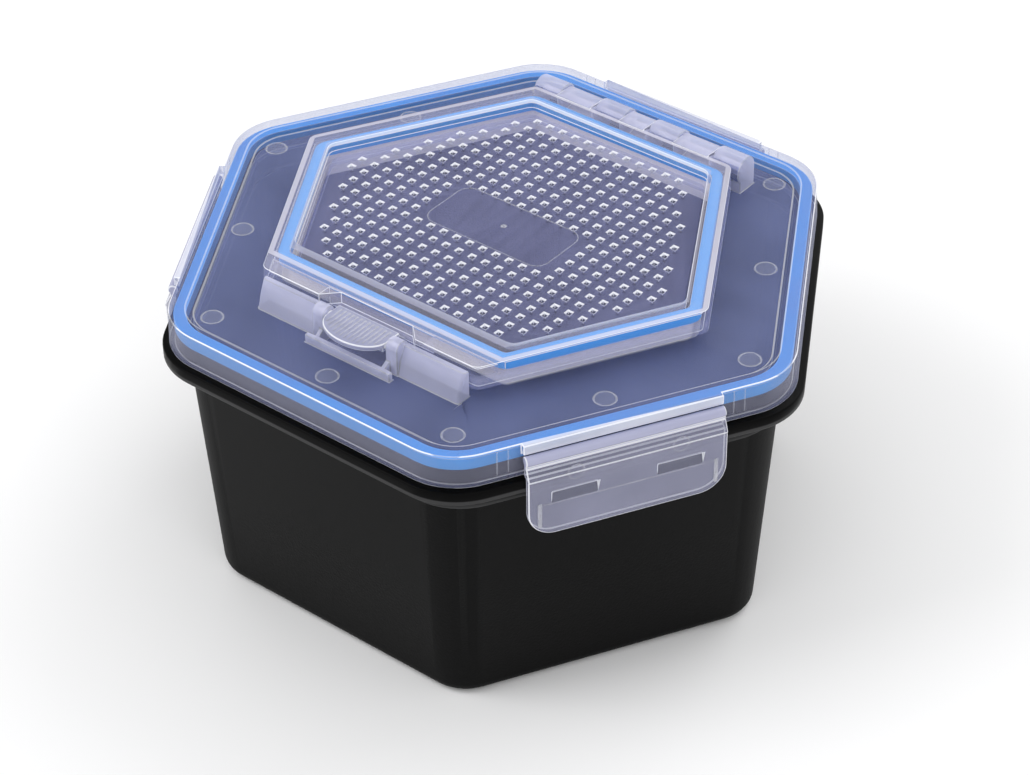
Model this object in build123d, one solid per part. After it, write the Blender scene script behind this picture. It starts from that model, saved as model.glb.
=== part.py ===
from build123d import *
import math
import os

os.makedirs("parts", exist_ok=True)

# Lengths are in millimetres. The base stands on z = 0, +Y points at the hatch's hinge side,
# the flats of the hexagon face +Y and -Y and its corners point at +X and -X.

# Box as a whole
LID_ACROSS = 164.0      # lid rim across flats
RIM_HEIGHT = 88.0       # floor to the lid's rim top
CORNER = 17.5           # corner radius at the lid rim

# Lid moulding
LID_PLATE = 1.6         # rim plate and plug wall thickness
LID_PANEL = 1.8         # thickness of the flat panel
LID_SINK = 2.0          # panel top below the rim top
RIM_BAND = 4.4          # flat rim width, skirt included
SKIRT_DEPTH = 9.6       # rim top to the skirt's lower edge
SKIRT_WALL = 1.2
SKIRT_FLARE = 0.5       # skirt's lower edge stands out by this much
PLUG_DEPTH = 5.7        # plug wall below the seal channel's ceiling

# Lid seal
SEAL_WIDTH = 3.4
SEAL_DEPTH = 3.5
SEAL_EASE = 0.05        # side play of both seals in their channels
OVERCUT = 0.5           # cutting bodies reach past the faces that they open

# Tub
TUB_RIM = 2.4           # width of the edge that bears on the seal
TUB_WALL = 2.0
TUB_FLOOR = 2.4
TUB_DRAFT = 5.0         # wall leans in by this much from flange to base
TUB_CORNER = 17.5       # corner radius of the wall under the flange
TUB_BASE_ROUND = 4.0
TUB_WELL_CHAMFER = 2.0
TUB_STEP = 1.1          # step inside the tub, below the lid's plug wall
FLANGE_REACH = 2.3      # flange edge beyond the lid rim
FLANGE_DROP = 3.9
FLANGE_WALL = 1.6
LID_GAP = 0.3           # skirt above flange, and latch outside flange

# Snap latches
LATCH_WIDTH = 54.0
LATCH_DROP = 22.9       # hinge line to the flap's lower edge
LATCH_PLATE = 1.8
LATCH_CORNER = 7.5
LATCH_ROLL = 1.4        # radius of the rolled hinge edge
LATCH_ROLL_OFF = 0.6    # roll's inner side off the lid rim
LATCH_NECK = ((1.0, -0.8), (0.95, -1.8), (1.3, -2.2))   # groove under the roll, out and up
LATCH_SHOULDER = 0.6    # top of the flap's inner side above the skirt's edge
LATCH_SLOPE = 0.5       # fall of the shoulder from roll to flap
LATCH_BEAD = 0.3        # small bead along the flap's top
LATCH_STRIP = 2.8       # depth of the fixed strip on the lid
LATCH_STRIP_OUT = 1.5
LATCH_TURN_GAP = 0.2    # strip to roll
WINDOW_IN = 8.0         # catch window ends, from the latch's middle
WINDOW_OUT = 20.6
WINDOW_TOP = 9.9        # below the hinge line
WINDOW_TALL = 3.0
WINDOW_DEEP = 0.9
LATCH_TURNS = (210, -30, 90)
LATCH_NAMES = ("latch_left", "latch_right", "latch_back")

# Hatch
HATCH_MARGIN = 23.5     # lid flat to hatch flat
HATCH_CUT = 3.5         # front wall set back from the full hexagon
HATCH_RISE = 7.5        # hatch top above the rim top
HATCH_LIFT = 2.5        # hatch wall's lower edge above the lid panel
HATCH_CORNER = 3.0
HATCH_FLARE = 0.2       # wall's lower edge stands out by this much
HATCH_WALL = 1.4
HATCH_TOP = 1.6
HATCH_PANEL = 1.8
HATCH_SINK = 2.6        # perforated panel below the hatch top
HATCH_SEAL_IN = 3.5     # seal's middle line inside the hatch's outline
FRONT_STRIP = 9.5       # front edge to the seal's middle line
HATCH_SEAL_WIDTH = 3.0
HATCH_SEAL_DEPTH = 2.9
COAMING = 1.8           # raised wall round the hatch opening
COAMING_IN = 0.1        # its middle line inside the seal's
RING_GAP = 0.6          # hatch plug ring inside the coaming
RING_WALL = 1.6
RECESS_IN = 2.5         # recess over the panel, inside the seal's middle line
RECESS_FRONT = 13.5     # front wall to the recess
NOTCH_HALF = 16.0
NOTCH_TAPER = 4.0
NOTCH_DEEP = 4.0
NOTCH_WALL = 1.6        # wall left behind and beside the notch
LEDGE_DROP = 1.0        # notch floor below the catch pin
LEDGE_OUT = 2.2         # room cut for the tab's rear edge behind the front wall
LEDGE_SPACE = 0.4       # and below its path

# Air holes
HOLE_PITCH = 4.44
HOLE_TOP = 1.7
HOLE_BOTTOM = 0.7
HOLE_SHIFT = 0.5        # field's middle behind the hexagon's
HOLE_REACH = 10.65      # pattern limit in pitches, square to a slanted side
HOLE_EDGE = 1.0         # least land between a hole and the panel's edge
BARE_COLUMNS = 5
BARE_ROWS = 2

# Hatch hinge
HINGE_RADIUS = 4.0      # lid knuckles
HINGE_ARM = 3.4         # hatch knuckles
HINGE_OUT = 4.8         # hinge line behind the hatch's rear flat
HINGE_DROP = 3.3        # hinge line below the hatch top
HINGE_PIN = 1.25
ARM_DROP = 1.5          # hatch knuckle's arm below the pin
POST_IN = 2.7           # lid knuckle's post in front of the pin
PIN_COVER = 1.2         # closed end of the outer knuckles
PIN_PLAY = 0.08         # running play round both pins
PIN_SEAT = 0.03         # play where a pin sits still
KNUCKLE_ENDS = (4.2, 14.3, 26.1, 35.5)
KNUCKLE_GAP = 0.3       # between neighbouring knuckles, along the pin

# Thumb catch
CATCH_OUT = 2.8         # catch pin in front of the hatch's front wall
CATCH_DROP = 2.3        # catch pin below the hatch top
CATCH_BARREL = 1.9
CATCH_PIN = 0.8
BOSS_COVER = 1.0        # closed end of each boss
BOSS_IN = 10.4
BOSS_OUT = 14.2
TAB_GAP = 0.3           # tab to each boss
TAB_PLATE = 1.5
TAB_REAR = 3.8          # pin to the tab's rear edge
TAB_FRONT = 7.7         # pin to the tab's front tip
TAB_STRAIGHT = 1.0      # square-sided part in front of the pin
TAB_RISE = 1.0          # tab's upper face above the pin's middle
HOOK_DROP = 3.0         # pin to the hook's lower edge
HOOK_OUT = 1.7          # pin to the hook's catching edge
HOOK_BACK = 1.2
WING_END = 34.0
WING_SPACE = 0.5        # wing's rear face to the hatch's front wall
WING_TOP_DROP = 1.5     # wing top below the hatch top
WING_FOOT = 4.4         # wing thickness at the panel
WING_HEAD = 1.6
WING_KNEE = 1.1         # wing's front leans back by this much at half height
WING_ROUND = 1.1
LIP_OUT = 8.4           # pocket lip in front of the hatch's front wall
LIP_WALL = 1.4
LIP_TALL = 2.4

# Heights that follow
rim_z = RIM_HEIGHT
panel_z = rim_z - LID_SINK
ceiling_z = rim_z - LID_PLATE
tub_top_z = ceiling_z - SEAL_DEPTH
plug_z = ceiling_z - PLUG_DEPTH
skirt_z = rim_z - SKIRT_DEPTH
flange_z = skirt_z - LID_GAP
hatch_z = rim_z + HATCH_RISE
hatch_low_z = panel_z + HATCH_LIFT
hatch_panel_z = hatch_z - HATCH_SINK
hatch_ceiling_z = hatch_z - HATCH_TOP
seal_low_z = hatch_ceiling_z - HATCH_SEAL_DEPTH

# Half sizes across flats that follow
lid_a = LID_ACROSS / 2
seal_out_a = lid_a - SKIRT_WALL
seal_in_a = seal_out_a - SEAL_WIDTH
plug_a = seal_in_a - LID_PLATE
rim_a = lid_a - RIM_BAND
rim_play = (SEAL_WIDTH - TUB_RIM) / 2
flange_a = lid_a + FLANGE_REACH
hatch_a = lid_a - HATCH_MARGIN
hatch_front = hatch_a - HATCH_CUT
seal_mid_a = hatch_a - HATCH_SEAL_IN
coaming_a = seal_mid_a - COAMING_IN
hinge_y = hatch_a + HINGE_OUT
hinge_z = hatch_z - HINGE_DROP
catch_y = -hatch_front - CATCH_OUT
catch_z = hatch_z - CATCH_DROP
boss_r = CATCH_OUT - WING_SPACE
latch_z = rim_z - LATCH_STRIP - LATCH_TURN_GAP - LATCH_ROLL
COS30 = math.cos(math.radians(30))


def rounded(points, radius):
    """Closed outline through the points with every corner rounded."""
    face = make_face(Polyline(*points, close=True))
    return fillet(face.vertices(), radius)


def hexagon(apothem, radius):
    """Regular hexagon with rounded corners, flats facing +Y and -Y."""
    side = apothem / COS30
    points = [(side * math.cos(math.radians(60 * k)), side * math.sin(math.radians(60 * k)))
              for k in range(6)]
    return rounded(points, radius)


def cut_hexagon(apothem, front, radius):
    """The hatch's outline: a hexagon whose front flat is set back to y = -front."""
    half = apothem / COS30
    low = (apothem - front / 2) / COS30
    points = [(half, 0), (half / 2, apothem), (-half / 2, apothem), (-half, 0),
              (-low, -front), (low, -front)]
    return rounded(points, radius)


def seal_outline(offset, radius):
    """Outline that runs parallel to the hatch seal's middle line, offset outwards."""
    return cut_hexagon(seal_mid_a + offset, hatch_front - FRONT_STRIP + offset, radius)


def slab(outline, low, high):
    return extrude(Pos(0, 0, low) * outline, high - low)


def leaning(outline, high, low, inset):
    """Body under an outline whose sides lean in by the inset on the way down."""
    angle = math.degrees(math.atan2(inset, high - low))
    return extrude(Pos(0, 0, high) * outline, high - low, dir=(0, 0, -1), taper=angle)


def block(x0, x1, y0, y1, z0, z1):
    return Pos((x0 + x1) / 2, (y0 + y1) / 2, (z0 + z1) / 2) * Box(x1 - x0, y1 - y0, z1 - z0)


def rod(x0, x1, y, z, radius):
    return Pos((x0 + x1) / 2, y, z) * Rot(0, 90, 0) * Cylinder(radius, x1 - x0)


def bar(points, x0, x1):
    """Profile of (y, z) points drawn out along X."""
    face = make_face(Polyline(*[(0, y, z) for y, z in points], close=True))
    return Pos(x0, 0, 0) * extrude(face, amount=x1 - x0, dir=(1, 0, 0))


def on_side(turn, body):
    """Turn a piece that was drawn at the -Y flat to the flat that faces the angle."""
    return Rot(0, 0, turn + 90) * body


def tub():
    rim_out = seal_out_a - rim_play
    rim_in = rim_out - TUB_RIM
    wall_top = rim_out - TUB_WALL
    plate_z = flange_z - FLANGE_WALL
    lip_z = flange_z - FLANGE_DROP
    trim = lid_a - rim_out
    body = leaning(hexagon(wall_top, TUB_CORNER), plate_z, 0, TUB_DRAFT)
    body = fillet(body.edges().group_by(Axis.Z)[0], TUB_BASE_ROUND)
    body += slab(hexagon(flange_a, CORNER + FLANGE_REACH), plate_z, flange_z)
    lip = slab(hexagon(flange_a, CORNER + FLANGE_REACH), lip_z, plate_z)
    lip -= slab(hexagon(flange_a - FLANGE_WALL, CORNER + FLANGE_REACH - FLANGE_WALL), lip_z, plate_z)
    body += lip
    body += slab(hexagon(rim_out, CORNER - trim), flange_z, tub_top_z)
    seat_z = plug_z - TUB_STEP
    inner = slab(hexagon(rim_in, CORNER - trim - TUB_RIM), seat_z, tub_top_z)
    well_top = wall_top - TUB_WALL
    well_z = plate_z - FLANGE_WALL
    inner += leaning(hexagon(rim_in, CORNER - trim - TUB_RIM), seat_z, well_z, rim_in - well_top)
    well = leaning(hexagon(well_top, TUB_CORNER - TUB_WALL), well_z, TUB_FLOOR, TUB_DRAFT)
    well = chamfer(well.edges().group_by(Axis.Z)[0], TUB_WELL_CHAMFER)
    return body - inner - well


def latch_strip():
    """The fixed strip that a latch's hinge film is moulded to, drawn at the -Y flat."""
    half = LATCH_WIDTH / 2
    return block(-half, half, -lid_a - LATCH_STRIP_OUT, -lid_a + SKIRT_WALL / 2, rim_z - LATCH_STRIP, rim_z)


def bracket():
    """Wings, pin bosses and low lip of the thumb catch, standing on the lid panel."""
    rear = -hatch_front - WING_SPACE
    foot = rear - WING_FOOT
    top = hatch_z - WING_TOP_DROP
    knee = (panel_z + top) / 2
    profile = [(rear, panel_z), (foot, panel_z), (foot + WING_KNEE, knee), (rear - WING_HEAD, top),
               (rear, top)]
    lip_front = -hatch_front - LIP_OUT
    lip_rear = lip_front + LIP_WALL
    cheek_profile = [(lip_rear, panel_z), (catch_y, panel_z), (catch_y, catch_z - boss_r),
                     (lip_rear, panel_z + LIP_TALL)]
    body = block(-BOSS_OUT, BOSS_OUT, lip_front, lip_rear, panel_z, panel_z + LIP_TALL)
    for side in (-1, 1):
        wing = bar(profile, *sorted((side * BOSS_OUT, side * WING_END)))
        outer_face = wing.faces().sort_by(Axis.X)[-1 if side > 0 else 0]
        slanted = [e for e in outer_face.edges() if e.center().Y < rear - WING_HEAD / 2
                   and panel_z < e.center().Z < top]
        body += fillet(slanted, WING_ROUND)
        x0, x1 = sorted((side * BOSS_IN, side * BOSS_OUT))
        body += rod(x0, x1, catch_y, catch_z, boss_r)
        body += block(x0, x1, catch_y - boss_r, rear, panel_z, catch_z)
        body += bar(cheek_profile, *sorted((side * BOSS_IN, side * (BOSS_IN + LIP_WALL))))
    return body - catch_rod(PIN_SEAT)


def knuckle_spans():
    """Spans along X of the hatch's knuckles and of the lid's, on the +X half and the middle."""
    inner, second, third, end = KNUCKLE_ENDS
    hatch_spans = [(-inner, inner), (second, third), (-third, -second)]
    lid_spans = [(inner + KNUCKLE_GAP, second - KNUCKLE_GAP), (third + KNUCKLE_GAP, end)]
    lid_spans += [(-x1, -x0) for x0, x1 in lid_spans]
    return hatch_spans, lid_spans


def hinge_rod(play=0):
    """The hatch's hinge pin, or the bore round it."""
    pin_end = KNUCKLE_ENDS[3] - PIN_COVER
    return rod(-pin_end, pin_end, hinge_y, hinge_z, HINGE_PIN + play)


def catch_rod(play=0):
    """The thumb catch's pin, or the bore round it."""
    pin_end = BOSS_OUT - BOSS_COVER
    return rod(-pin_end, pin_end, catch_y, catch_z, CATCH_PIN + play)


def lid():
    body = leaning(hexagon(lid_a, CORNER), rim_z, skirt_z, -SKIRT_FLARE)
    body -= leaning(hexagon(rim_a, CORNER - RIM_BAND), rim_z, panel_z, LID_SINK)
    channel = slab(hexagon(seal_out_a, CORNER - SKIRT_WALL), skirt_z, ceiling_z)
    channel -= slab(hexagon(seal_in_a, CORNER - SKIRT_WALL - SEAL_WIDTH), skirt_z, ceiling_z)
    body -= channel
    plug_corner = CORNER - SKIRT_WALL - SEAL_WIDTH
    body -= slab(hexagon(seal_in_a + OVERCUT, plug_corner + OVERCUT), skirt_z, plug_z)
    body -= slab(hexagon(plug_a, plug_corner - LID_PLATE), skirt_z, panel_z - LID_PANEL)
    ring_out = coaming_a - seal_mid_a + COAMING / 2
    ring_in = ring_out - COAMING
    body += slab(seal_outline(ring_out, HATCH_CORNER), panel_z, seal_low_z)
    body -= slab(seal_outline(ring_in, HATCH_CORNER - COAMING / 2), skirt_z, rim_z + HATCH_RISE)
    for turn in LATCH_TURNS:
        body += on_side(turn, latch_strip())
    for x0, x1 in knuckle_spans()[1]:
        body += rod(x0, x1, hinge_y, hinge_z, HINGE_RADIUS)
        body += block(x0, x1, hinge_y - POST_IN, hinge_y + HINGE_RADIUS, panel_z, hinge_z)
    body -= hinge_rod(PIN_SEAT)
    return body + bracket()


def lid_gasket():
    outer = slab(hexagon(seal_out_a - SEAL_EASE, CORNER - SKIRT_WALL - SEAL_EASE), tub_top_z, ceiling_z)
    inner = slab(hexagon(seal_in_a + SEAL_EASE, CORNER - SKIRT_WALL - SEAL_WIDTH + SEAL_EASE),
                 tub_top_z, ceiling_z)
    return outer - inner


def latch():
    """Snap latch flap, drawn at the -Y flat with its hinge line along X."""
    half = LATCH_WIDTH / 2
    line = lid_a + LATCH_ROLL + LATCH_ROLL_OFF
    inner = flange_a + LID_GAP - line
    outer = inner + LATCH_PLATE
    shoulder = skirt_z + LATCH_SHOULDER - latch_z
    step = shoulder - LATCH_SLOPE
    web = LATCH_ROLL / 2
    profile = [(-web, LATCH_NECK[0][1]), (-web, shoulder), (inner, step), (inner, -LATCH_DROP),
               (outer, -LATCH_DROP), (outer, step - LATCH_BEAD), (outer + LATCH_BEAD, step)]
    profile += reversed(LATCH_NECK)
    body = bar([(-line - out, latch_z + up) for out, up in profile], -half, half)
    body = fillet(body.edges().filter_by(Axis.Y).group_by(Axis.Z)[0], LATCH_CORNER)
    body += rod(-half, half, -line, latch_z, LATCH_ROLL)
    face = -line - outer
    top = latch_z - WINDOW_TOP
    window = [(face - OVERCUT, top), (face + WINDOW_DEEP, top), (face, top - WINDOW_TALL),
              (face - OVERCUT, top - WINDOW_TALL)]
    for x0, x1 in ((WINDOW_IN, WINDOW_OUT), (-WINDOW_OUT, -WINDOW_IN)):
        body -= bar(window, x0, x1)
    return body


def hatch():
    body = leaning(cut_hexagon(hatch_a, hatch_front, HATCH_CORNER), hatch_z, hatch_low_z, -HATCH_FLARE)
    inside = cut_hexagon(hatch_a - HATCH_WALL, hatch_front - HATCH_WALL, HATCH_CORNER - HATCH_WALL)
    plug_out = coaming_a - seal_mid_a - COAMING / 2 - RING_GAP
    recess = cut_hexagon(seal_mid_a - RECESS_IN, hatch_front - RECESS_FRONT, HATCH_CORNER)
    body -= slab(recess, hatch_panel_z, hatch_z)
    body -= slab(seal_outline(plug_out - RING_WALL, HATCH_CORNER), hatch_low_z, hatch_panel_z - HATCH_PANEL)
    hollow = slab(inside, hatch_low_z, hatch_ceiling_z)
    hollow -= slab(seal_outline(plug_out, HATCH_CORNER), hatch_low_z, hatch_ceiling_z)
    web_y = -hatch_front + FRONT_STRIP - HATCH_SEAL_WIDTH / 2 - SEAL_EASE
    web = slab(inside, seal_low_z, hatch_ceiling_z)
    web &= block(-lid_a, lid_a, web_y - RING_WALL, web_y, seal_low_z, hatch_ceiling_z)
    body -= hollow - web
    for x0, x1 in knuckle_spans()[0]:
        body += rod(x0, x1, hinge_y, hinge_z, HINGE_ARM)
        body += block(x0, x1, hatch_a - HATCH_WALL / 2, hinge_y, hinge_z - ARM_DROP, hinge_z + HINGE_ARM)
    body -= hinge_rod(PIN_PLAY)
    body += block(-NOTCH_HALF - NOTCH_WALL, NOTCH_HALF + NOTCH_WALL, -hatch_front,
                  -hatch_front + NOTCH_DEEP + NOTCH_WALL, hatch_low_z, hatch_z)
    ledge_z = catch_z - LEDGE_DROP
    low_half = NOTCH_HALF - NOTCH_TAPER
    notch = make_face(Polyline((-NOTCH_HALF, -hatch_front - OVERCUT), (NOTCH_HALF, -hatch_front - OVERCUT),
                               (NOTCH_HALF, -hatch_front), (low_half, -hatch_front + NOTCH_DEEP),
                               (-low_half, -hatch_front + NOTCH_DEEP), (-NOTCH_HALF, -hatch_front),
                               close=True))
    body -= slab(notch, ledge_z, hatch_z + OVERCUT)
    body -= block(-BOSS_IN, BOSS_IN, -hatch_front - OVERCUT, -hatch_front + LEDGE_OUT,
                  catch_z - TAB_REAR - LEDGE_SPACE, ledge_z)
    return body - holes()


def holes():
    """Square air holes that narrow downwards, in a hexagonal field round a bare rectangle."""
    lean = (HOLE_TOP - HOLE_BOTTOM) / 2
    funnel = Wedge(HOLE_TOP, HATCH_PANEL, HOLE_TOP, lean, lean, HOLE_TOP - lean, HOLE_TOP - lean)
    one = Pos(0, HOLE_SHIFT, hatch_panel_z - HATCH_PANEL / 2) * Rot(-90, 0, 0) * funnel
    land = HOLE_EDGE + HOLE_TOP / 2
    edge_a = seal_mid_a - RECESS_IN - land
    front = hatch_front - RECESS_FRONT - land
    spots = []
    count = int(edge_a / COS30 / HOLE_PITCH) + 1
    for i in range(-count, count):
        for j in range(-count, count):
            column, row = i + 0.5, j + 0.5
            x, y = column * HOLE_PITCH, row * HOLE_PITCH
            bare = abs(column) < BARE_COLUMNS and abs(row) < BARE_ROWS
            square_to_side = COS30 * abs(column) + 0.5 * abs(row)
            fits = COS30 * abs(x) + abs(y) / 2 < edge_a and -front < y < edge_a
            if fits and square_to_side < HOLE_REACH and not bare:
                spots.append((x, y))
    return [Pos(x, y, 0) * one for x, y in spots]


def hatch_gasket():
    half = HATCH_SEAL_WIDTH / 2
    outer = slab(seal_outline(half, HATCH_CORNER + half), seal_low_z, hatch_ceiling_z)
    inner = slab(seal_outline(-half, HATCH_CORNER - half), seal_low_z, hatch_ceiling_z)
    return outer - inner


def catch_tab():
    half = BOSS_IN - TAB_GAP
    top = catch_z + TAB_RISE
    base = top - TAB_PLATE
    neck = catch_y - TAB_STRAIGHT
    length = TAB_FRONT - TAB_STRAIGHT
    outline = make_face(Polyline((-half, catch_y + TAB_REAR), (half, catch_y + TAB_REAR), (half, neck),
                                 (-half, neck), close=True))
    outline += Pos(0, neck) * (Ellipse(half, length) - Pos(0, length) * Rectangle(3 * half, 2 * length))
    body = slab(outline, base, top)
    barrel = rod(-half, half, catch_y, catch_z, CATCH_BARREL)
    body += barrel & block(-half, half, catch_y - CATCH_BARREL, catch_y + CATCH_BARREL,
                           catch_z - CATCH_BARREL, top)
    hook = bar([(catch_y - HOOK_BACK, catch_z - CATCH_PIN), (catch_y - HOOK_BACK, catch_z - HOOK_DROP),
                (catch_y + HOOK_OUT, catch_z - HOOK_DROP), (catch_y + HOOK_OUT, catch_z - CATCH_PIN)],
               -half + TAB_PLATE, half - TAB_PLATE)
    body += hook
    return body - catch_rod(PIN_PLAY)


def save(body, name):
    solid = body.solids()
    shape = solid[0] if len(solid) == 1 else Compound(children=solid)
    shape.label = name
    export_step(shape, f"parts/{name}.step")


save(tub(), "tub")
save(lid(), "lid")
save(lid_gasket(), "lid_gasket")
one_latch = latch()
for turn, name in zip(LATCH_TURNS, LATCH_NAMES):
    save(on_side(turn, one_latch), name)
save(hatch(), "hatch")
save(hatch_gasket(), "hatch_gasket")
save(hinge_rod(), "hatch_hinge_pin")
save(catch_tab(), "catch_tab")
save(catch_rod(), "catch_pin")
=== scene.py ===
"""Looks of the hexagonal bait box: frosted lid and hatch with blue seals on a matt black tub."""

import math

import bmesh
import bpy
from mathutils import Matrix, Vector


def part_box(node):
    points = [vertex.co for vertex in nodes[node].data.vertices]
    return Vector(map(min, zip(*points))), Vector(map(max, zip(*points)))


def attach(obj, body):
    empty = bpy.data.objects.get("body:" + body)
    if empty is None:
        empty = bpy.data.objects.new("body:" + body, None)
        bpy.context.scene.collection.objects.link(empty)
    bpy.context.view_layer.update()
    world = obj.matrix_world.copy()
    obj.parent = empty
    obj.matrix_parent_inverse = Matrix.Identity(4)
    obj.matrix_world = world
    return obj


MM = 0.001

# Camera, matched to the photograph
IMAGE_WIDTH = 1030
SENSOR = 36.0
FOCAL_PIXELS = 2988.36
AZIMUTH = math.radians(38.76)
ELEVATION = math.radians(37.62)
ROLL = math.radians(-0.75)
DISTANCE = 800 * MM
OFFSET_RIGHT = 3.66 * MM
OFFSET_UP = -38.8 * MM

# Colours, linear; a dense one is a darker tone for a thicker veil
HATCH_BLUE = (0.52, 0.55, 1.0)
MILK = (0.66, 0.68, 0.95)
RING_MILK = (0.64, 0.63, 0.74)
PALE_MILK = (0.69, 0.70, 0.90)
TAB_MILK = (0.44, 0.455, 0.63)
DENSE_MILK = (0.33, 0.34, 0.47)
FLAP_MILK = (0.42, 0.43, 0.60)
DENSE_BLUE = (0.25, 0.30, 0.60)
STRIP_WHITE = (0.80, 0.81, 0.90)
CREAM = (0.98, 0.94, 0.97)
WHITE = (0.93, 0.94, 1.0)
SEAL_BLUE = (0.025, 0.38, 0.95)
TUB_BLACK = (0.003, 0.003, 0.0031)
# the flange's black, darker than the tub's, is painted shade under the lid's skirt; the grey below it is a
# painted highlight on the flange's lip and the foot bead
FLANGE_SHADE_BLACK = (0.0015, 0.0015, 0.0016)
HIGHLIGHT_GREY = (0.045, 0.045, 0.046)
FLOOR_GREY = (0.92, 0.92, 0.925)

# Ejector marks on the lid panel
MARK_RADIUS = 2.9 * MM
MARK_BEAD = 0.28 * MM
MARK_RISE = 0.12 * MM
MARK_CORNERS = 80.9 * MM        # distance from the middle near the corners
MARK_SIDES = 70.9 * MM          # and near the flats
DISC_RISE = 0.05 * MM

# Outline and gate mark on the hatch's perforated panel
BARE_LONG = 40 * MM
BARE_WIDE = 19.4 * MM
BARE_CORNER = 4 * MM
BARE_BACK = 0.6 * MM
LINE_BEAD = 0.16 * MM
LINE_RISE = 0.1 * MM
GATE = Vector((0.2 * MM, 0.9 * MM))
GATE_RADIUS = 0.9 * MM
GATE_RISE = 0.15 * MM

# Bead on the tub wall below the flange
FOOT_BEAD = 0.9 * MM
FOOT_APOTHEM = 77.5 * MM
FOOT_CORNER = 17.5 * MM
FOOT_DROP = 9.7 * MM            # below the flange's upper face

# Marks on each latch and on the skirt beside it; drops are below the rim's top
LATCH_FACE_IN = 0.3 * MM        # plate face behind the latch's outermost line
BAR_SIDE = 24 * MM
BAR_DROPS = (17 * MM, 24.5 * MM)
BAR_BEAD = (0.6 * MM, 0.3 * MM)
SEAM_SIDE = 23.6 * MM
SEAM_DROP = 17.7 * MM
LATCH_MARK_SIDE = 14.2 * MM
LATCH_MARK_DROP = 9.4 * MM
LATCH_MARK_RADIUS = 2.2 * MM
FINE_BEAD = (0.15 * MM, 0.08 * MM)
TICKS = (("a34", -33.5 * MM), ("a30", -30.5 * MM), ("b30", 30.5 * MM), ("b34", 33.5 * MM))
TICK_DROPS = (8 * MM, 0.6 * MM)
TICK_BEAD = (0.2 * MM, 0.08 * MM)

# Thumb tab and its finger pocket
POCKET_BACK = 2.5 * MM          # pocket floor's front edge behind the tab's tip
POCKET_RISE = 0.04 * MM
TAB_REAR = 3.8 * MM             # tab's pin to its rear edge
TAB_STRAIGHT = 1.0 * MM
RIB_PITCH = 1.35 * MM
RIBS_A_SIDE = 6
RIB_REAR = 2.6 * MM
RIB_SHORT = 1.3 * MM            # rib's end to the tab's front edge
RIB_BEAD = (0.3 * MM, 0.16 * MM)

# Rounded edges
LID_ROUND = 0.26 * MM
HATCH_ROUND = 0.14 * MM
LATCH_ROUND = 0.3 * MM
TAB_ROUND = 0.3 * MM
TUB_ROUND = 0.45 * MM
SHARP = math.radians(35)
SHY_CORNERS = [(side * MM, -55.9 * MM, 94.2 * MM) for side in (-14.2, 14.2)]
SHY_REACH = 1.6 * MM            # edges this near to such a corner stay sharp
SEAL_EASE = 0.03 * MM           # seal surfaces off the channel faces that they touch

# Sizes of the solids that the frame doesn't name
LID_PLATE = 1.6 * MM            # over the lid's seal
LID_SINK = 2.0 * MM             # rim's top to panel
RIM_OUT = 1.25 * MM             # lid seal to the rim's outer flat
HATCH_TOP = 1.6 * MM            # over the hatch's seal
HATCH_SINK = 2.6 * MM           # hatch's top to perforated panel
SEAL_HALF = 1.5 * MM            # hatch seal's outer edge to its mid line
TUB_OVER_FLANGE = 4.8 * MM
FLANGE_TALL = 4.3 * MM
# below this drop the flange's lip is grey: a painted highlight
FLANGE_HIGHLIGHT_DROP = 2.4 * MM          # below the flange's upper face its lip turns grey
HINGE_LINE = 1.4 * MM           # latch's top to its hinge line
STRIP_OUT = 0.8 * MM            # latch strips stand farther out of the skirt than this
CATCH_DEEP = 12 * MM            # catch bracket, before the hatch
CATCH_HALF = 35 * MM
HATCH_GAP = 0.3 * MM
KNUCKLES = (60 * MM, 70 * MM)   # lid's hinge knuckles, front and rear limits
KNUCKLES_HALF = 36 * MM
COAMING_REACH = 66 * MM
HATCH_KNUCKLES = 58.8 * MM      # hatch's knuckles lie behind this
FUNNEL_DEEP = 1.9 * MM
FUNNEL_SLOPES = (0.15, 0.6)     # rise of a hole wall's normal
WALL_OUT = 1.6 * MM             # hatch's outer wall lies farther from the seal's mid line
WINDOW_LOW = 13.2 * MM          # latch window's lower end below the hinge line
WINDOW_TALL = 3.6 * MM
WINDOW_DEPTHS = (0.45 * MM, 1.3 * MM)
STEEP = 0.3                     # a wall's normal rises less than this
OVER_PANEL = 0.05 * MM          # a lid face higher above the panel stands on it
OVER_GRILLE = 0.1 * MM          # a hatch face higher above the grille is on the ring
GRILLE_SLACK = 0.01 * MM

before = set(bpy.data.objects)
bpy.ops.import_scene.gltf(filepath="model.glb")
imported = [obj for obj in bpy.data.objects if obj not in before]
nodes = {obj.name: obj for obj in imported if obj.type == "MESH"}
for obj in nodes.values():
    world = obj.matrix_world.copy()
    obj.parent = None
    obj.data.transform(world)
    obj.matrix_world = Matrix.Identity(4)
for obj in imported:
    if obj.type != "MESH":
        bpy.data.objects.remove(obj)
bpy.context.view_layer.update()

# Places read from the frame
rim_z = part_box("lid_gasket")[1].z + LID_PLATE
panel_z = rim_z - LID_SINK
lid_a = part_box("lid_gasket")[1].y + RIM_OUT
hatch_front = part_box("hatch")[0].y
hatch_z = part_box("hatch_gasket")[1].z + HATCH_TOP
hatch_ceiling = hatch_z - HATCH_TOP
hatch_panel = hatch_z - HATCH_SINK
hatch_seal_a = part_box("hatch_gasket")[1].y - SEAL_HALF
hatch_seal_front = -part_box("hatch_gasket")[0].y - SEAL_HALF
flange_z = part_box("tub")[1].z - TUB_OVER_FLANGE
latch_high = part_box("latch_back")[1]
latch_line = latch_high.z - HINGE_LINE
tab_low, tab_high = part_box("catch_tab")


def facing(*turns):
    """Level directions at turns in degrees from +X."""
    return [Vector((math.cos(math.radians(turn)), math.sin(math.radians(turn)), 0)) for turn in turns]


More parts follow.
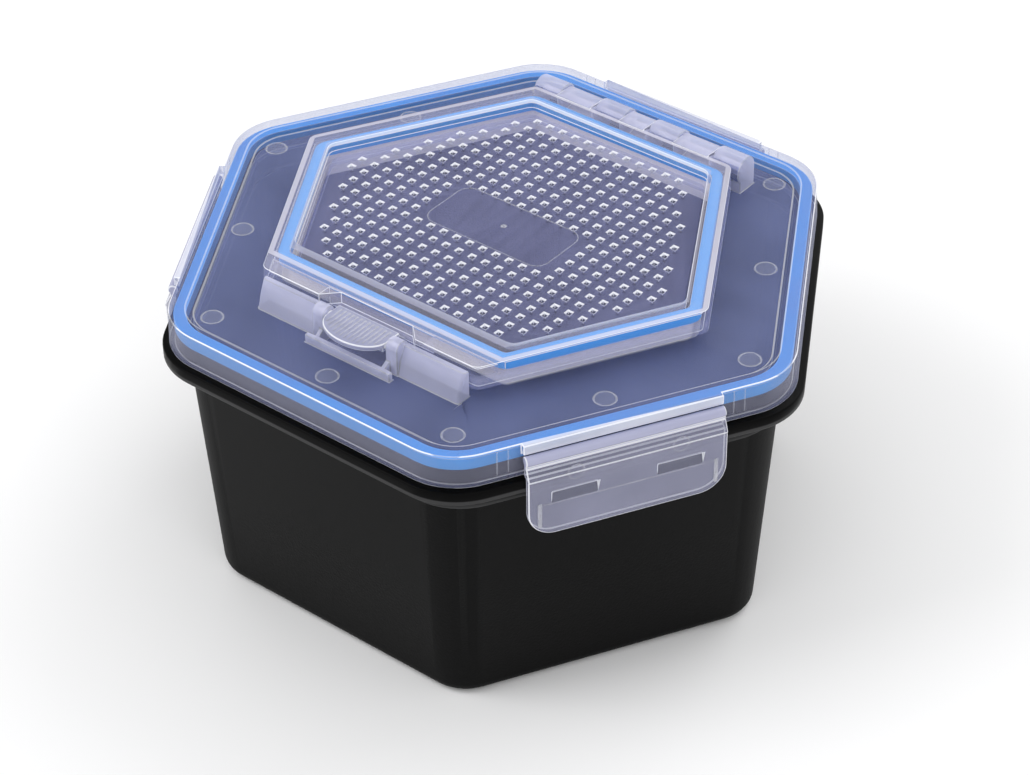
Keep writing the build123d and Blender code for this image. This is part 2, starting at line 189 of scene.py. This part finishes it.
def principled(name, color, roughness, specular=0.5):
    """New material with its Principled shader; returns both."""
    material = bpy.data.materials.new(name)
    material.use_nodes = True
    shader = material.node_tree.nodes["Principled BSDF"]
    shader.inputs["Base Color"].default_value = (*color, 1)
    shader.inputs["Roughness"].default_value = roughness
    shader.inputs["Specular IOR Level"].default_value = specular
    return material, shader


def object_place(tree):
    return tree.nodes.new("ShaderNodeTexCoord").outputs["Object"]


def add_bump(material, shader, scale, strength, detail=2.0):
    """Fine moulded texture from noise in object space."""
    tree = material.node_tree
    noise = tree.nodes.new("ShaderNodeTexNoise")
    noise.inputs["Scale"].default_value = scale
    noise.inputs["Detail"].default_value = detail
    bump = tree.nodes.new("ShaderNodeBump")
    bump.inputs["Strength"].default_value = strength
    bump.inputs["Distance"].default_value = 0.2 * MM
    tree.links.new(object_place(tree), noise.inputs["Vector"])
    tree.links.new(noise.outputs["Fac"], bump.inputs["Height"])
    tree.links.new(bump.outputs["Normal"], shader.inputs["Normal"])


def math_node(tree, operation, one, two):
    """Math on sockets or plain numbers; returns the result's socket."""
    node = tree.nodes.new("ShaderNodeMath")
    node.operation = operation
    for place, value in enumerate((one, two)):
        if isinstance(value, (int, float)):
            node.inputs[place].default_value = value
        else:
            tree.links.new(value, node.inputs[place])
    return node.outputs["Value"]


def ramp(tree, value, start, stop, low, high):
    """Value from low at start to high at stop, clamped."""
    node = tree.nodes.new("ShaderNodeMapRange")
    for socket, number in (("From Min", start), ("From Max", stop), ("To Min", low), ("To Max", high)):
        node.inputs[socket].default_value = number
    tree.links.new(value, node.inputs["Value"])
    return node.outputs["Result"]


def height(tree):
    split = tree.nodes.new("ShaderNodeSeparateXYZ")
    tree.links.new(object_place(tree), split.inputs["Vector"])
    return split.outputs["Z"]


def off_hexagon(tree, apothem, front):
    """Distance outwards from a hexagon whose front flat may be set back."""
    place = object_place(tree)
    farthest = None
    for turn in (30, 90, 150, 210, 270, 330):
        side = tree.nodes.new("ShaderNodeVectorMath")
        side.operation = "DOT_PRODUCT"
        side.inputs[1].default_value = facing(turn)[0]
        tree.links.new(place, side.inputs[0])
        out = math_node(tree, "SUBTRACT", side.outputs["Value"], front if turn == 270 else apothem)
        farthest = out if farthest is None else math_node(tree, "MAXIMUM", farthest, out)
    return farthest


def off_hatch_seal(tree):
    return off_hexagon(tree, hatch_seal_a, hatch_seal_front)


def off_lid_rim(tree):
    return off_hexagon(tree, lid_a, lid_a)


def frosted(name, color, veil_face, veil_edge, roughness=0.35, zones=(), cloud=0.0, bump=0.0):
    """Milky see-through plastic: a veil over what lies behind, denser seen edge on.

    Each zone (measure, start, stop, veil) moves the veil to its own value as the measured
    place goes from start to stop: where the moulding is thicker or thinner, and where
    highlights and reflections are painted.
    """
    material, shader = principled(name, color, roughness)
    tree = material.node_tree
    weight = tree.nodes.new("ShaderNodeLayerWeight")
    weight.inputs["Blend"].default_value = 0.5
    amount = ramp(tree, weight.outputs["Facing"], 0, 1, veil_face, veil_edge)
    if cloud:
        noise = tree.nodes.new("ShaderNodeTexNoise")
        noise.inputs["Scale"].default_value = 45
        noise.inputs["Detail"].default_value = 3
        tree.links.new(object_place(tree), noise.inputs["Vector"])
        amount = math_node(tree, "MULTIPLY", amount,
                           ramp(tree, noise.outputs["Fac"], 0.3, 0.7, 1 - cloud, 1 + cloud))
    for measure, start, stop, veil in zones:
        mix = tree.nodes.new("ShaderNodeMix")
        mix.inputs["B"].default_value = veil
        tree.links.new(ramp(tree, measure(tree), start, stop, 0, 1), mix.inputs["Factor"])
        tree.links.new(amount, mix.inputs["A"])
        amount = mix.outputs["Result"]
    tree.links.new(amount, shader.inputs["Alpha"])
    if bump:
        add_bump(material, shader, 500, bump)
    return material


def flange_plastic():
    """Flange blacker than the tub as painted shade under the lid's skirt, its lip grey along its lower
    part as a painted highlight.
    """
    flange, shader = principled("flange_shade_and_highlight", FLANGE_SHADE_BLACK, 0.4, 0.05)
    tree = flange.node_tree
    lower = tree.nodes.new("ShaderNodeMixRGB")
    lower.inputs["Color1"].default_value = (*FLANGE_SHADE_BLACK, 1)
    lower.inputs["Color2"].default_value = (*HIGHLIGHT_GREY, 1)
    # the lip's lower part is lit grey: a painted highlight
    highlight_z = flange_z - FLANGE_HIGHLIGHT_DROP
    tree.links.new(ramp(tree, height(tree), highlight_z, highlight_z - 0.3 * MM, 0, 1), lower.inputs["Fac"])
    tree.links.new(lower.outputs["Color"], shader.inputs["Base Color"])
    return flange


def make_materials():
    """All materials by name. A zone is (measure, start, stop, veil), as frosted says."""
    tub, tub_shader = principled("black_tub", TUB_BLACK, 0.55, 0.08)
    add_bump(tub, tub_shader, 1500, 0.35, 4.0)
    flange = flange_plastic()
    # the foot bead's grey is a painted highlight on black plastic
    bead_highlight, _ = principled("bead_painted_highlight", HIGHLIGHT_GREY, 0.6, 0.08)
    seal, seal_shader = principled("blue_seal", SEAL_BLUE, 0.4)
    add_bump(seal, seal_shader, 900, 0.08)
    # lid edges on the rim's outer part get a denser painted highlight
    rim_zone = (off_lid_rim, -1.2 * MM, -0.9 * MM, 0.85)
    inner_zone = (off_hatch_seal, -0.3 * MM, -0.5 * MM, 0.97)
    wall_zone = (height, hatch_z - 3.6 * MM, hatch_z - 4.0 * MM, 0.26)
    # the recess wall's top, before the solid top plate, is denser, and its white is a painted highlight
    plate_highlight_zone = (height, hatch_ceiling + 0.4 * MM, hatch_ceiling + 0.6 * MM, 0.66)
    # pale bands either side of the seal: over the hatch's walls the plastic is seen deep, and their
    # brightness is painted reflection of light inside the walls
    ring_zones = (
        (off_hatch_seal, 1.9 * MM, 2.2 * MM, 0.7),
        (off_hatch_seal, 3.6 * MM, 3.9 * MM, 0.26),
        (off_hatch_seal, -1.5 * MM, -1.8 * MM, 0.36),
    )
    # the top of each hole's wall is white: a painted highlight ringing the hole
    hole_rim_highlight_zone = (height, hatch_panel - 0.6 * MM, hatch_panel - 0.45 * MM, 0.92)
    # hatch edges keep their painted highlight high up and lose it low down
    under_zones = (
        (height, hatch_z - 4.8 * MM, hatch_z - 4.7 * MM, 0.02),
        (height, hatch_z - 3.7 * MM, hatch_z - 3.5 * MM, 0.85),
    )
    roll_zone = (height, latch_line - 2.1 * MM, latch_line - 1.9 * MM, 0.9)
    return {
        "tub": tub,
        "flange": flange,
        "bead_highlight": bead_highlight,
        "seal": seal,
        # rounded edges are bright white lines: a painted highlight
        "edge": frosted("painted_edge_highlight", WHITE, 0.75, 0.85, 0.2),
        "lid_painted_edge": frosted("lid_painted_edge", WHITE, 0.30, 0.42, 0.2, zones=(rim_zone,)),
        "hatch_painted_edge": frosted("hatch_painted_edge", WHITE, 0.75, 0.85, 0.2, zones=under_zones),
        "panel": frosted("lid_plastic", DENSE_BLUE, 0.14, 0.42, cloud=0.15),
        "skirt": frosted("skirt_plastic", DENSE_MILK, 0.12, 0.45),
        "coaming": frosted("coaming_plastic", CREAM, 0.28, 0.38, zones=(inner_zone,)),
        "milky": frosted("milky_plastic", PALE_MILK, 0.40, 0.64, 0.3, cloud=0.1, bump=0.05),
        "strip": frosted("strip_plastic", STRIP_WHITE, 0.62, 0.8, 0.22, cloud=0.12, bump=0.5),
        "grille": frosted("hatch_plastic", HATCH_BLUE, 0.07, 0.23, cloud=0.1),
        "ring": frosted("ring_plastic", RING_MILK, 0.08, 0.24, zones=ring_zones),
        "wall": frosted("hatch_wall", MILK, 0.03, 0.2, zones=(wall_zone,)),
        "recess": frosted("recess_wall_highlight", WHITE, 0.08, 0.25, zones=(plate_highlight_zone,)),
        "funnel": frosted("hole_rim_highlight", WHITE, 0.02, 0.04, zones=(hole_rim_highlight_zone,)),
        "flap": frosted("flap_plastic", FLAP_MILK, 0.30, 0.5, 0.25, zones=(roll_zone,), cloud=0.15,
                        bump=0.08),
        "window": frosted("flap_window", DENSE_MILK, 0.1, 0.28),
        "tab": frosted("tab_plastic", TAB_MILK, 0.45, 0.65, 0.3),
        "pocket": frosted("pocket_plastic", MILK, 0.16, 0.26, cloud=0.2),
        "disc": frosted("mark_disc", WHITE, 0.04, 0.09),
        "mark": frosted("mark_ring", WHITE, 0.16, 0.28),
        "line": frosted("outline_bead", WHITE, 0.12, 0.24),
        "rib": frosted("rib_plastic", WHITE, 0.2, 0.35),
    }


def mark_round_edges(piece, keep_off, hollows):
    """Marks the sharp edges for rounding: hollow ones too where asked, none near keep_off.

    Rounding throws a long thin spike where an arc ends a hair's breadth from a corner.
    """
    tree = bpy.data.node_groups.new("round_edges", "GeometryNodeTree")
    for way in ("INPUT", "OUTPUT"):
        tree.interface.new_socket("Geometry", in_out=way, socket_type="NodeSocketGeometry")
    source = tree.nodes.new("NodeGroupInput")
    sink = tree.nodes.new("NodeGroupOutput")
    place = tree.nodes.new("GeometryNodeInputPosition")
    angle = tree.nodes.new("GeometryNodeInputMeshEdgeAngle")
    bend = angle.outputs["Unsigned Angle" if hollows else "Signed Angle"]
    chosen = math_node(tree, "GREATER_THAN", bend, SHARP)
    for corner in keep_off:
        away = tree.nodes.new("ShaderNodeVectorMath")
        away.operation = "DISTANCE"
        away.inputs[1].default_value = corner
        tree.links.new(place.outputs["Position"], away.inputs[0])
        clear = math_node(tree, "GREATER_THAN", away.outputs["Value"], SHY_REACH)
        chosen = math_node(tree, "MULTIPLY", chosen, clear)
    store = tree.nodes.new("GeometryNodeStoreNamedAttribute")
    store.data_type = "FLOAT"
    store.domain = "EDGE"
    store.inputs["Name"].default_value = "bevel_weight_edge"
    tree.links.new(source.outputs["Geometry"], store.inputs["Geometry"])
    tree.links.new(chosen, store.inputs["Value"])
    tree.links.new(store.outputs["Geometry"], sink.inputs["Geometry"])
    piece.modifiers.new("mark", "NODES").node_group = tree


def dress(node, slots, bevel=0.0, segments=2, choose=None, keep_off=(), hollows=True):
    """Gives a CAD node its materials and, where asked, small rounded edges whose bright white is a painted
    highlight.

    choose(centre, normal) gives a face's material by its place in slots; the last slot is
    that of the rounded edges. keep_off and hollows are as mark_round_edges says.
    """
    piece = nodes[node]
    mesh = piece.data
    mesh.materials.clear()
    for slot in slots:
        mesh.materials.append(materials[slot])
    if choose:
        for polygon in mesh.polygons:
            polygon.material_index = choose(polygon.center, polygon.normal)
    if bevel:
        weld = piece.modifiers.new("weld", "WELD")
        weld.merge_threshold = 0.002 * MM
        flat = piece.modifiers.new("flat", "DECIMATE")
        flat.decimate_type = "DISSOLVE"
        flat.angle_limit = math.radians(0.4)
        flat.delimit = {"MATERIAL"}
        mark_round_edges(piece, keep_off, hollows)
        round_edges = piece.modifiers.new("round", "BEVEL")
        round_edges.width = bevel
        round_edges.segments = segments
        round_edges.limit_method = "WEIGHT"
        round_edges.use_clamp_overlap = False
        round_edges.harden_normals = True
        round_edges.material = len(slots) - 1
    mesh.polygons.foreach_set("use_smooth", [True] * len(mesh.polygons))
    mesh.set_sharp_from_angle(angle=SHARP)


def tub_face(centre, normal):
    """Slot of a tub face: the flange and all above it, or the body."""
    return 1 if centre.z > flange_z - FLANGE_TALL else 0


def lid_face(centre, normal):
    """Slot of a lid face: panel, skirt, coaming, latch strip, or milky where the moulding is thick."""
    wall = abs(normal.z) < STEEP
    before_hatch = hatch_front - CATCH_DEEP < centre.y < hatch_front - HATCH_GAP
    if max(centre.dot(side) for side in latch_sides) > lid_a + STRIP_OUT:
        return 4
    if centre.z > panel_z + OVER_PANEL:
        if before_hatch and abs(centre.x) < CATCH_HALF:
            return 2
        if KNUCKLES[0] < centre.y < KNUCKLES[1] and abs(centre.x) < KNUCKLES_HALF:
            return 2
    if wall and centre.xy.length < COAMING_REACH and abs(centre.y) < hatch_seal_a:
        return 3
    return 1 if wall else 0


def hatch_face(centre, normal):
    """Slot of a hatch face: grille, ring, walls, funnel or milky hinge knuckle."""
    rise = abs(normal.z)
    off_line = max(centre.dot(side) for side in hatch_sides) - hatch_seal_a
    off_line = max(off_line, -centre.y - hatch_seal_front)
    in_panel = hatch_panel - FUNNEL_DEEP < centre.z < hatch_panel + GRILLE_SLACK
    if centre.y > HATCH_KNUCKLES:
        return 5
    if in_panel and FUNNEL_SLOPES[0] < rise < FUNNEL_SLOPES[1]:
        return 4
    if rise > STEEP:
        return 1 if centre.z > hatch_panel + OVER_GRILLE else 0
    if off_line > WALL_OUT:
        return 2
    return 3 if centre.z > hatch_panel else 0


def flap_face(centre, normal):
    """Slot of a latch face: clear inside the catch windows."""
    low = latch_line - WINDOW_LOW
    for side in latch_sides:
        depth = latch_high.y - centre.dot(side)
        if WINDOW_DEPTHS[0] < depth < WINDOW_DEPTHS[1] and low < centre.z < low + WINDOW_TALL:
            return 1
    return 0


def new_piece(name, mesh_maker, material, body):
    """Object from a bmesh function, smooth shaded, riding on a body."""
    mesh = bpy.data.meshes.new(name)
    work = bmesh.new()
    mesh_maker(work)
    bmesh.ops.recalc_face_normals(work, faces=work.faces)
    work.to_mesh(mesh)
    work.free()
    for polygon in mesh.polygons:
        polygon.use_smooth = True
    piece = bpy.data.objects.new(name, mesh)
    bpy.context.scene.collection.objects.link(piece)
    mesh.materials.append(materials[material])
    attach(piece, body)


def bead(work, path, width, rise, closed, up):
    """Low rounded bead along points on a flat surface whose outward direction is up."""
    steps = 4
    count = len(path)
    loops = []
    for i, point in enumerate(path):
        before = path[i - 1] if closed or i else point
        after = path[(i + 1) % count] if closed or i < count - 1 else point
        along = (after - before).normalized()
        across = up.cross(along)
        loop = []
        for k in range(steps + 1):
            turn = math.pi * k / steps
            lift = up * rise * math.sin(turn)
            loop.append(work.verts.new(point + across * width * math.cos(turn) + lift))
        loops.append(loop)
    last = count if closed else count - 1
    for i in range(last):
        one, two = loops[i], loops[(i + 1) % count]
        for k in range(steps):
            work.faces.new((one[k], one[k + 1], two[k + 1], two[k]))
        work.faces.new((one[steps], one[0], two[0], two[steps]))
    if not closed:
        work.faces.new(loops[0])
        work.faces.new(loops[-1])


def circle(centre, radius, count=40):
    turns = [2 * math.pi * k / count for k in range(count)]
    return [centre + Vector((radius * math.cos(turn), radius * math.sin(turn), 0)) for turn in turns]


def rounded_rectangle(centre, length, width, corner, per_corner=6):
    points = []
    for k, (sx, sy) in enumerate(((1, 1), (-1, 1), (-1, -1), (1, -1))):
        middle = centre + Vector((sx * (length / 2 - corner), sy * (width / 2 - corner), 0))
        for step in range(per_corner + 1):
            turn = math.pi / 2 * (k + step / per_corner)
            points.append(middle + Vector((corner * math.cos(turn), corner * math.sin(turn), 0)))
    return points


def disc(work, centre, radius):
    work.faces.new([work.verts.new(point) for point in circle(centre, radius, 32)])


def hexagon_path(apothem, corner, z, per_corner=8):
    """Rounded hexagon with flats facing +Y and -Y."""
    points = []
    for k in range(6):
        turn = math.radians(60 * k)
        middle = (apothem - corner) / math.cos(math.radians(30))
        centre = Vector((middle * math.cos(turn), middle * math.sin(turn), z))
        for step in range(per_corner + 1):
            angle = turn + math.radians(60) * (step / per_corner - 0.5)
            points.append(centre + Vector((corner * math.cos(angle), corner * math.sin(angle), 0)))
    return points


def tube(work, path, radius, sides):
    """Closed round tube along points on a level."""
    upright = Vector((0, 0, 1))
    loops = []
    for i, point in enumerate(path):
        along = (path[(i + 1) % len(path)] - path[i - 1]).normalized()
        across = Vector((-along.y, along.x, 0))
        turns = [2 * math.pi * k / sides for k in range(sides)]
        loops.append([work.verts.new(point + radius * (across * math.cos(turn) + upright * math.sin(turn)))
                      for turn in turns])
    for i, one in enumerate(loops):
        two = loops[(i + 1) % len(loops)]
        for k in range(sides):
            work.faces.new((one[k], one[(k + 1) % sides], two[(k + 1) % sides], two[k]))


def new_bead(name, path, size, material, body, closed=True, up=Vector((0, 0, 1))):
    """Piece made of one bead; size is its half width and its rise."""
    new_piece(name, lambda work: bead(work, path, *size, closed, up), material, body)


def add_lid_marks():
    """Ejector marks on the lid: a ring with a faint disc in it, by each corner and flat."""
    for k in range(12):
        turn = math.radians(30 * k)
        reach = MARK_SIDES if k % 2 else MARK_CORNERS
        centre = Vector((reach * math.cos(turn), reach * math.sin(turn), panel_z))
        inside = centre + Vector((0, 0, DISC_RISE))
        new_bead(f"ejector_mark_{k}", circle(centre, MARK_RADIUS), (MARK_BEAD, MARK_RISE), "mark", "lid")
        new_piece(f"ejector_disc_{k}", lambda work: disc(work, inside, MARK_RADIUS - MARK_BEAD),
                  "disc", "lid")


def add_hatch_marks():
    """Outline of the bare field and gate mark on the perforated panel."""
    centre = Vector((0, BARE_BACK, hatch_panel))
    outline = rounded_rectangle(centre, BARE_LONG, BARE_WIDE, BARE_CORNER)
    new_bead("grille_outline", outline, (LINE_BEAD, LINE_RISE), "line", "hatch")
    gate = Vector((GATE.x, GATE.y, hatch_panel))
    new_bead("gate_mark", circle(gate, GATE_RADIUS / 2, 20), (GATE_RADIUS / 2, GATE_RISE), "mark", "hatch")


def add_foot_bead():
    """Bead round the tub, under the flange, grey as a painted highlight."""
    path = hexagon_path(FOOT_APOTHEM, FOOT_CORNER, flange_z - FOOT_DROP)
    new_piece("flange_foot_bead", lambda work: tube(work, path, FOOT_BEAD, 12), "bead_highlight", "tub")


def add_latch_marks():
    """Bars, seam line and ejector marks on each latch, and flow lines on the skirt beside it."""
    for name, out in zip(("left", "right", "back"), latch_sides):
        along = Vector((-out.y, out.x, 0))

        def spot(reach, side, drop):
            return out * reach + along * side + Vector((0, 0, rim_z - drop))

        face = latch_high.y - LATCH_FACE_IN
        for label, side in (("bar_a", -BAR_SIDE), ("bar_b", BAR_SIDE)):
            path = [spot(face, side, drop) for drop in BAR_DROPS]
            new_bead(f"latch_{name}_{label}", path, BAR_BEAD, "rib", f"latch_{name}", False, out)
        path = [spot(face, side, SEAM_DROP) for side in (-SEAM_SIDE, SEAM_SIDE)]
        new_bead(f"latch_{name}_seam", path, FINE_BEAD, "mark", f"latch_{name}", False, out)
        for label, side in (("mark_a", -LATCH_MARK_SIDE), ("mark_b", LATCH_MARK_SIDE)):
            path = [spot(face, side + point.x, LATCH_MARK_DROP + point.y)
                    for point in circle(Vector((0, 0, 0)), LATCH_MARK_RADIUS, 32)]
            new_bead(f"latch_{name}_{label}", path, FINE_BEAD, "mark", f"latch_{name}", True, out)
        for label, side in TICKS:
            path = [spot(lid_a, side, drop) for drop in TICK_DROPS]
            new_bead(f"skirt_{name}_tick_{label}", path, TICK_BEAD, "line", "lid", False, out)


def add_pocket():
    """Milky floor of the finger pocket under the thumb catch."""
    front = tab_low.y + POCKET_BACK
    level = panel_z + POCKET_RISE
    corners = [(tab_low.x, front, level), (tab_high.x, front, level),
               (tab_high.x, tab_high.y, level), (tab_low.x, tab_high.y, level)]
    new_piece("pocket_floor", lambda work: work.faces.new([work.verts.new(corner) for corner in corners]),
              "pocket", "lid")


def add_tab_ribs():
    """Fine ribs that run front to back over the thumb tab."""
    half = (tab_high.x - tab_low.x) / 2
    pin_y = tab_high.y - TAB_REAR
    front = pin_y - tab_low.y
    for k in range(2 * RIBS_A_SIDE + 1):
        x = RIB_PITCH * (k - RIBS_A_SIDE)
        curve = (front - TAB_STRAIGHT) * math.sqrt(1 - (x / half) ** 2)
        start = Vector((x, pin_y + RIB_REAR, tab_high.z))
        stop = Vector((x, pin_y - curve - TAB_STRAIGHT + RIB_SHORT, tab_high.z))
        new_bead(f"tab_rib_{k}", [start, stop], RIB_BEAD, "rib", "catch_tab", False)


def add_stage():
    """Pale floor, white surroundings and soft studio lights."""
    bpy.ops.mesh.primitive_plane_add(size=8, location=(0, 0, 0))
    floor = bpy.context.object
    floor.name = "floor"
    material, _ = principled("floor", FLOOR_GREY, 0.7, 0.1)
    floor.data.materials.append(material)
    world = bpy.data.worlds.new("studio")
    bpy.context.scene.world = world
    world.use_nodes = True
    world.node_tree.nodes["Background"].inputs["Color"].default_value = (1, 1, 1.0, 1)
    world.node_tree.nodes["Background"].inputs["Strength"].default_value = 0.84
    bpy.context.scene.view_settings.view_transform = "Standard"
    bpy.context.scene.cycles.transparent_max_bounces = 32   # many clear walls lie one behind another
    for name, place, size, power in (
        ("key", (-0.6, -0.7, 1.0), 0.6, 5.0),
        ("fill", (0.9, -0.5, 0.7), 0.8, 1.5),
        ("back", (0.2, 0.9, 0.9), 0.9, 4.0),
    ):
        light = bpy.data.lights.new(name, "AREA")
        light.size = size
        light.energy = power
        lamp = bpy.data.objects.new(name, light)
        bpy.context.scene.collection.objects.link(lamp)
        lamp.location = place
        aim = Vector((0, 0, 0.05)) - Vector(place)
        lamp.rotation_euler = aim.to_track_quat("-Z", "Y").to_euler()


def add_camera():
    """Camera with the photograph's viewpoint, tilt and framing."""
    view = Vector((math.sin(AZIMUTH) * math.cos(ELEVATION),
                   -math.cos(AZIMUTH) * math.cos(ELEVATION),
                   math.sin(ELEVATION)))
    level = Vector((math.cos(AZIMUTH), math.sin(AZIMUTH), 0))
    above = view.cross(level)
    right = level * math.cos(ROLL) + above * math.sin(ROLL)
    up = above * math.cos(ROLL) - level * math.sin(ROLL)
    place = view * DISTANCE + right * OFFSET_RIGHT + up * OFFSET_UP + Vector((0, 0, rim_z))
    data = bpy.data.cameras.new("camera")
    data.sensor_width = SENSOR
    data.lens = FOCAL_PIXELS / IMAGE_WIDTH * SENSOR
    data.clip_start = 0.01
    camera = bpy.data.objects.new("camera", data)
    bpy.context.scene.collection.objects.link(camera)
    turn = Matrix((right, up, view)).transposed().to_4x4()
    camera.matrix_world = Matrix.Translation(place) @ turn
    bpy.context.scene.camera = camera


latch_sides = facing(210, 330, 90)
hatch_sides = facing(30, 90, 150, 210, 330)
materials = make_materials()
dress("tub", ["tub", "flange"], TUB_ROUND, choose=tub_face, hollows=False)
dress("lid", ["panel", "skirt", "milky", "coaming", "strip", "lid_painted_edge"], LID_ROUND,
      choose=lid_face, keep_off=SHY_CORNERS)
dress("hatch", ["grille", "ring", "wall", "recess", "funnel", "milky", "hatch_painted_edge"], HATCH_ROUND, 1,
      choose=hatch_face)
for name in ("latch_left", "latch_right", "latch_back"):
    dress(name, ["flap", "window", "edge"], LATCH_ROUND, choose=flap_face)
dress("catch_tab", ["tab", "edge"], TAB_ROUND)
dress("hatch_hinge_pin", ["milky"])
dress("catch_pin", ["milky"])
for name in ("lid_gasket", "hatch_gasket"):
    dress(name, ["seal"])
    ease = nodes[name].modifiers.new("ease", "DISPLACE")
    ease.mid_level = 0
    ease.strength = -SEAL_EASE
add_lid_marks()
add_hatch_marks()
add_foot_bead()
add_latch_marks()
add_pocket()
add_tab_ribs()
add_stage()
add_camera()
